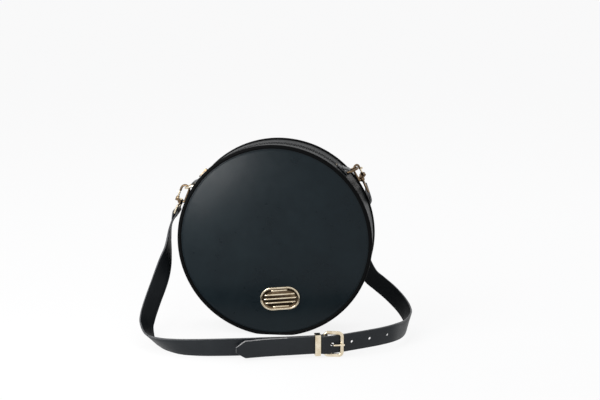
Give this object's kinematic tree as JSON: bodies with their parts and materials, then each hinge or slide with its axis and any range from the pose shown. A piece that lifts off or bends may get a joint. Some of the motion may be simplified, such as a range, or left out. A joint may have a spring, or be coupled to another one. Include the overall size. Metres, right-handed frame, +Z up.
{
  "type": "round shoulder bag",
  "caption": "Round leather shoulder bag with piped edges, a zip over the top, snap hooks on rings and a buckled strap.",
  "frame": {"origin": "on the floor, midway between the two faces, under the bag's centre, in the middle of the flat that the side band rests on", "axes": "+Z up, +X to the right and +Y from the front face to the back face"},
  "size_m": [0.2729, 0.1574, 0.1982],
  "materials": {
    "shell_leather": "smooth, matte",
    "piping_leather": "smooth, satin",
    "strap_leather": "smooth, satin",
    "lining_cloth": "woven cotton",
    "stiffener_board": "pressed fibre board",
    "zip_tape": "woven",
    "zip_teeth": "satin",
    "gold_metal": "polished, light gold"
  },
  "bodies": {
    "bag": {"front_panel": "shell_leather", "back_panel": "shell_leather", "front_piping": "piping_leather", "back_piping": "piping_leather", "base_gusset": "shell_leather", "gusset_lining": "lining_cloth", "front_facing_ends": "shell_leather", "back_zip_facing": "shell_leather", "front_tape_ends": "zip_tape", "back_zip_tape": "zip_tape", "front_teeth_ends": "zip_teeth", "back_zip_teeth": "zip_teeth", "zip_stops": "gold_metal", "front_stiffener": "stiffener_board", "back_stiffener": "stiffener_board", "front_lining": "lining_cloth", "back_lining": "lining_cloth", "left_tab": "shell_leather", "right_tab": "shell_leather", "left_swivel_eye": "gold_metal", "right_swivel_eye": "gold_metal", "left_strap": "strap_leather", "right_strap": "strap_leather", "buckle_frame": "gold_metal", "badge": "gold_metal", "badge_washers": "gold_metal"},
    "mouth_flap": {"front_panel_mouth": "shell_leather", "front_piping_mouth": "piping_leather", "front_zip_facing": "shell_leather", "front_zip_tape": "zip_tape", "front_zip_teeth": "zip_teeth", "front_stiffener_mouth": "stiffener_board", "front_lining_mouth": "lining_cloth"},
    "slider": {"zip_slider": "gold_metal"},
    "pull": {"zip_pull": "gold_metal"},
    "left_ring": {"left_ring": "gold_metal"},
    "right_ring": {"right_ring": "gold_metal"},
    "left_hook": {"left_hook": "gold_metal", "left_gate_pin": "gold_metal"},
    "right_hook": {"right_hook": "gold_metal", "right_gate_pin": "gold_metal"},
    "left_gate": {"left_gate": "gold_metal"},
    "right_gate": {"right_gate": "gold_metal"},
    "prong": {"buckle_prong": "gold_metal"},
    "keeper": {"strap_keeper": "gold_metal"}
  },
  "joints": [
    {"name": "mouth_open", "type": "hinge", "parent": "bag", "child": "mouth_flap", "pos_m": [-0.00818, -0.026, 0.17594], "axis": [0.9945, 0, 0.1045], "range_deg": [0, 45]},
    {"name": "zip_slide", "type": "hinge", "parent": "bag", "child": "slider", "pos_m": [0, 0, 0.0981], "axis": [0, 1, 0], "range_deg": [0, 82.37]},
    {"name": "pull_flip", "type": "hinge", "parent": "slider", "child": "pull", "pos_m": [-0.07425, 0, 0.16689], "axis": [0, 1, 0], "range_deg": [0, 150]},
    {"name": "left_ring_swing", "type": "hinge", "parent": "bag", "child": "left_ring", "pos_m": [-0.08623, 0, 0.15136], "axis": [0, 1, 0], "range_deg": [-10, 0]},
    {"name": "right_ring_swing", "type": "hinge", "parent": "bag", "child": "right_ring", "pos_m": [0.07327, 0, 0.16812], "axis": [0, 1, 0], "range_deg": [0, 10]},
    {"name": "left_hook_swivel", "type": "hinge", "parent": "bag", "child": "left_hook", "pos_m": [-0.09557, 0, 0.14752], "axis": [-0.3746, 0, -0.9272], "range_deg": [-15, 15]},
    {"name": "right_hook_swivel", "type": "hinge", "parent": "bag", "child": "right_hook", "pos_m": [0.08059, 0.00537, 0.17103], "axis": [0.3619, 0.4981, -0.788], "range_deg": [-8, 8]},
    {"name": "left_gate_press", "type": "hinge", "parent": "left_hook", "child": "left_gate", "pos_m": [-0.10404, 0, 0.13779], "axis": [0, 1, 0], "range_deg": [0, 22], "stiffness_Nm_per_rad": 0.01, "springref_deg": -17.19},
    {"name": "right_gate_press", "type": "hinge", "parent": "right_hook", "child": "right_gate", "pos_m": [0.08695, 0.01413, 0.164], "axis": [0.809, -0.5878, 0], "range_deg": [0, 22], "stiffness_Nm_per_rad": 0.01, "springref_deg": -17.19},
    {"name": "prong_lift", "type": "hinge", "parent": "bag", "child": "prong", "pos_m": [0.05733, -0.08433, 0.0127], "axis": [0, 0, -1], "range_deg": [0, 4]},
    {"name": "keeper_slide", "type": "slide", "parent": "bag", "child": "keeper", "axis": [-0.9659, -0.2588, 0], "range_m": [0, 0.004]}
  ]
}
